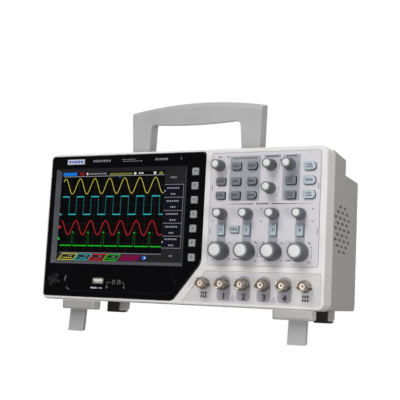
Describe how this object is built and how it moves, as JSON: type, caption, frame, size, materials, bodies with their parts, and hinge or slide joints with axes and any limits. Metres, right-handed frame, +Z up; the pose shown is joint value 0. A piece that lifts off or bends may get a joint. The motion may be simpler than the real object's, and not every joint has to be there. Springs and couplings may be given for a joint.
{
  "type": "oscilloscope",
  "caption": "Bench oscilloscope with a colour screen, soft keys, knobs, input sockets, a folding carrying handle and flip-out front legs.",
  "frame": {"origin": "on the standing surface, under the middle of the bounding box", "axes": "+X to the right of the front panel, +Y towards the back, +Z up; the body leans back on its flip-out legs"},
  "size_m": [0.318, 0.1542, 0.2389],
  "materials": {
    "bezel_white": "fine satin moulded plastic",
    "case_grey": "fine textured moulded plastic",
    "panel_black": "deep black, softly glossy",
    "screen_glass": "lit flat display behind a clear cover",
    "overlay_film": "printed satin film",
    "key_soft": "satin keycap",
    "key_grey": "satin keycap",
    "key_blue": "satin keycap",
    "knob_grey": "ribbed satin plastic",
    "cap_white": "smooth satin insert",
    "light_plastic": "fine textured moulded plastic",
    "rubber": "matt moulded rubber",
    "nickel": "brushed nickel plate",
    "insulator": "smooth white insulator",
    "gold": "gold plated contact",
    "inlet_black": "moulded black plastic",
    "circuit_board": "green solder mask",
    "plated_steel": "folded zinc plated sheet",
    "print_dark": "printed ink",
    "print_light": "printed ink",
    "screen_picture": "lit picture on the display"
  },
  "bodies": {
    "root": {"front_bezel": "bezel_white", "screen_panel": "panel_black", "lcd_module": "screen_glass", "control_overlay": "overlay_film", "rear_case": "case_grey", "control_board": "circuit_board", "main_board": "circuit_board", "power_supply": "plated_steel", "mains_inlet": "inlet_black", "bnc_generator": "nickel", "bnc_channel_1": "nickel", "bnc_channel_2": "nickel", "bnc_channel_3": "nickel", "bnc_channel_4": "nickel", "bnc_trigger": "nickel", "front_foot_left": "light_plastic", "rubber_foot_left": "rubber", "front_foot_right": "light_plastic", "rubber_foot_right": "rubber"},
    "handle": {"handle": "light_plastic"},
    "leg_left": {"leg_left": "light_plastic"},
    "leg_right": {"leg_right": "light_plastic"},
    "knob_multipurpose": {"knob_multipurpose": "knob_grey"},
    "knob_time_position": {"knob_time_position": "knob_grey"},
    "knob_time_scale": {"knob_time_scale": "knob_grey"},
    "knob_trigger_level": {"knob_trigger_level": "knob_grey"},
    "knob_position_1": {"knob_position_1": "knob_grey"},
    "knob_scale_1": {"knob_scale_1": "knob_grey"},
    "knob_position_2": {"knob_position_2": "knob_grey"},
    "knob_scale_2": {"knob_scale_2": "knob_grey"},
    "knob_position_3": {"knob_position_3": "knob_grey"},
    "knob_scale_3": {"knob_scale_3": "knob_grey"},
    "knob_position_4": {"knob_position_4": "knob_grey"},
    "knob_scale_4": {"knob_scale_4": "knob_grey"},
    "button_soft_1": {"button_soft_1": "key_soft"},
    "button_soft_2": {"button_soft_2": "key_soft"},
    "button_soft_3": {"button_soft_3": "key_soft"},
    "button_soft_4": {"button_soft_4": "key_soft"},
    "button_soft_5": {"button_soft_5": "key_soft"},
    "button_soft_6": {"button_soft_6": "key_soft"},
    "button_soft_7": {"button_soft_7": "key_soft"},
    "button_menu_1": {"button_menu_1": "key_grey"},
    "button_menu_2": {"button_menu_2": "key_grey"},
    "button_menu_3": {"button_menu_3": "key_grey"},
    "button_menu_4": {"button_menu_4": "key_grey"},
    "button_menu_5": {"button_menu_5": "key_grey"},
    "button_menu_6": {"button_menu_6": "key_grey"},
    "button_menu_7": {"button_menu_7": "key_grey"},
    "button_menu_8": {"button_menu_8": "key_grey"},
    "button_trigger_menu": {"button_trigger_menu": "key_grey"},
    "button_trigger_force": {"button_trigger_force": "key_grey"},
    "button_run": {"button_run": "key_blue"},
    "button_single": {"button_single": "key_blue"},
    "button_auto": {"button_auto": "key_blue"},
    "button_channel_1": {"button_channel_1": "key_blue"},
    "button_channel_2": {"button_channel_2": "key_blue"},
    "button_channel_3": {"button_channel_3": "key_blue"},
    "button_channel_4": {"button_channel_4": "key_blue"},
    "button_math": {"button_math": "key_blue"},
    "button_power": {"button_power": "panel_black"}
  },
  "joints": [
    {"name": "handle_fold", "type": "hinge", "parent": "root", "child": "handle", "pos_m": [0, 0.00589, 0.17016], "axis": [-1, 0, 0], "range_deg": [0, 93]},
    {"name": "leg_left_fold", "type": "hinge", "parent": "root", "child": "leg_left", "pos_m": [-0.12585, -0.0456, 0.02626], "axis": [1, 0, 0], "range_deg": [0, 94]},
    {"name": "leg_right_fold", "type": "hinge", "parent": "root", "child": "leg_right", "pos_m": [0.12585, -0.0456, 0.02626], "axis": [1, 0, 0], "range_deg": [0, 94]},
    {"name": "multipurpose_turn", "type": "hinge", "parent": "root", "child": "knob_multipurpose", "pos_m": [0.0472, -0.044, 0.17429], "axis": [0, 0.973, -0.2308], "continuous": true},
    {"name": "time_position_turn", "type": "hinge", "parent": "root", "child": "knob_time_position", "pos_m": [0.1015, -0.04412, 0.1738], "axis": [0, 0.973, -0.2308], "continuous": true},
    {"name": "time_scale_turn", "type": "hinge", "parent": "root", "child": "knob_time_scale", "pos_m": [0.1014, -0.04938, 0.15162], "axis": [0, 0.973, -0.2308], "continuous": true},
    {"name": "trigger_level_turn", "type": "hinge", "parent": "root", "child": "knob_trigger_level", "pos_m": [0.121, -0.04412, 0.1738], "axis": [0, 0.973, -0.2308], "continuous": true},
    {"name": "position_1_turn", "type": "hinge", "parent": "root", "child": "knob_position_1", "pos_m": [0.0513, -0.05522, 0.127], "axis": [0, 0.973, -0.2308], "continuous": true},
    {"name": "scale_1_turn", "type": "hinge", "parent": "root", "child": "knob_scale_1", "pos_m": [0.0513, -0.06359, 0.09168], "axis": [0, 0.973, -0.2308], "continuous": true},
    {"name": "position_2_turn", "type": "hinge", "parent": "root", "child": "knob_position_2", "pos_m": [0.0785, -0.05522, 0.127], "axis": [0, 0.973, -0.2308], "continuous": true},
    {"name": "scale_2_turn", "type": "hinge", "parent": "root", "child": "knob_scale_2", "pos_m": [0.0785, -0.06359, 0.09168], "axis": [0, 0.973, -0.2308], "continuous": true},
    {"name": "position_3_turn", "type": "hinge", "parent": "root", "child": "knob_position_3", "pos_m": [0.1058, -0.05522, 0.127], "axis": [0, 0.973, -0.2308], "continuous": true},
    {"name": "scale_3_turn", "type": "hinge", "parent": "root", "child": "knob_scale_3", "pos_m": [0.1058, -0.06359, 0.09168], "axis": [0, 0.973, -0.2308], "continuous": true},
    {"name": "position_4_turn", "type": "hinge", "parent": "root", "child": "knob_position_4", "pos_m": [0.1331, -0.05522, 0.127], "axis": [0, 0.973, -0.2308], "continuous": true},
    {"name": "scale_4_turn", "type": "hinge", "parent": "root", "child": "knob_scale_4", "pos_m": [0.1331, -0.06359, 0.09168], "axis": [0, 0.973, -0.2308], "continuous": true},
    {"name": "soft_1_press", "type": "slide", "parent": "root", "child": "button_soft_1", "axis": [0, 0.973, -0.2308], "range_m": [0, 0.0012], "stiffness_N_per_m": 800},
    {"name": "soft_2_press", "type": "slide", "parent": "root", "child": "button_soft_2", "axis": [0, 0.973, -0.2308], "range_m": [0, 0.0012], "stiffness_N_per_m": 800},
    {"name": "soft_3_press", "type": "slide", "parent": "root", "child": "button_soft_3", "axis": [0, 0.973, -0.2308], "range_m": [0, 0.0012], "stiffness_N_per_m": 800},
    {"name": "soft_4_press", "type": "slide", "parent": "root", "child": "button_soft_4", "axis": [0, 0.973, -0.2308], "range_m": [0, 0.0012], "stiffness_N_per_m": 800},
    {"name": "soft_5_press", "type": "slide", "parent": "root", "child": "button_soft_5", "axis": [0, 0.973, -0.2308], "range_m": [0, 0.0012], "stiffness_N_per_m": 800},
    {"name": "soft_6_press", "type": "slide", "parent": "root", "child": "button_soft_6", "axis": [0, 0.973, -0.2308], "range_m": [0, 0.0012], "stiffness_N_per_m": 800},
    {"name": "soft_7_press", "type": "slide", "parent": "root", "child": "button_soft_7", "axis": [0, 0.973, -0.2308], "range_m": [0, 0.0012], "stiffness_N_per_m": 800},
    {"name": "menu_1_press", "type": "slide", "parent": "root", "child": "button_menu_1", "axis": [0, 0.973, -0.2308], "range_m": [0, 0.0012], "stiffness_N_per_m": 800},
    {"name": "menu_2_press", "type": "slide", "parent": "root", "child": "button_menu_2", "axis": [0, 0.973, -0.2308], "range_m": [0, 0.0012], "stiffness_N_per_m": 800},
    {"name": "menu_3_press", "type": "slide", "parent": "root", "child": "button_menu_3", "axis": [0, 0.973, -0.2308], "range_m": [0, 0.0012], "stiffness_N_per_m": 800},
    {"name": "menu_4_press", "type": "slide", "parent": "root", "child": "button_menu_4", "axis": [0, 0.973, -0.2308], "range_m": [0, 0.0012], "stiffness_N_per_m": 800},
    {"name": "menu_5_press", "type": "slide", "parent": "root", "child": "button_menu_5", "axis": [0, 0.973, -0.2308], "range_m": [0, 0.0012], "stiffness_N_per_m": 800},
    {"name": "menu_6_press", "type": "slide", "parent": "root", "child": "button_menu_6", "axis": [0, 0.973, -0.2308], "range_m": [0, 0.0012], "stiffness_N_per_m": 800},
    {"name": "menu_7_press", "type": "slide", "parent": "root", "child": "button_menu_7", "axis": [0, 0.973, -0.2308], "range_m": [0, 0.0012], "stiffness_N_per_m": 800},
    {"name": "menu_8_press", "type": "slide", "parent": "root", "child": "button_menu_8", "axis": [0, 0.973, -0.2308], "range_m": [0, 0.0012], "stiffness_N_per_m": 800},
    {"name": "trigger_menu_press", "type": "slide", "parent": "root", "child": "button_trigger_menu", "axis": [0, 0.973, -0.2308], "range_m": [0, 0.0012], "stiffness_N_per_m": 800},
    {"name": "trigger_force_press", "type": "slide", "parent": "root", "child": "button_trigger_force", "axis": [0, 0.973, -0.2308], "range_m": [0, 0.0012], "stiffness_N_per_m": 800},
    {"name": "run_press", "type": "slide", "parent": "root", "child": "button_run", "axis": [0, 0.973, -0.2308], "range_m": [0, 0.0012], "stiffness_N_per_m": 800},
    {"name": "single_press", "type": "slide", "parent": "root", "child": "button_single", "axis": [0, 0.973, -0.2308], "range_m": [0, 0.0012], "stiffness_N_per_m": 800},
    {"name": "auto_press", "type": "slide", "parent": "root", "child": "button_auto", "axis": [0, 0.973, -0.2308], "range_m": [0, 0.0012], "stiffness_N_per_m": 800},
    {"name": "channel_1_press", "type": "slide", "parent": "root", "child": "button_channel_1", "axis": [0, 0.973, -0.2308], "range_m": [0, 0.0012], "stiffness_N_per_m": 800},
    {"name": "channel_2_press", "type": "slide", "parent": "root", "child": "button_channel_2", "axis": [0, 0.973, -0.2308], "range_m": [0, 0.0012], "stiffness_N_per_m": 800},
    {"name": "channel_3_press", "type": "slide", "parent": "root", "child": "button_channel_3", "axis": [0, 0.973, -0.2308], "range_m": [0, 0.0012], "stiffness_N_per_m": 800},
    {"name": "channel_4_press", "type": "slide", "parent": "root", "child": "button_channel_4", "axis": [0, 0.973, -0.2308], "range_m": [0, 0.0012], "stiffness_N_per_m": 800},
    {"name": "math_press", "type": "slide", "parent": "root", "child": "button_math", "axis": [0, 0.973, -0.2308], "range_m": [0, 0.0012], "stiffness_N_per_m": 800},
    {"name": "power_press", "type": "slide", "parent": "root", "child": "button_power", "axis": [0, 0.973, -0.2308], "range_m": [0, 0.0012], "stiffness_N_per_m": 800}
  ]
}
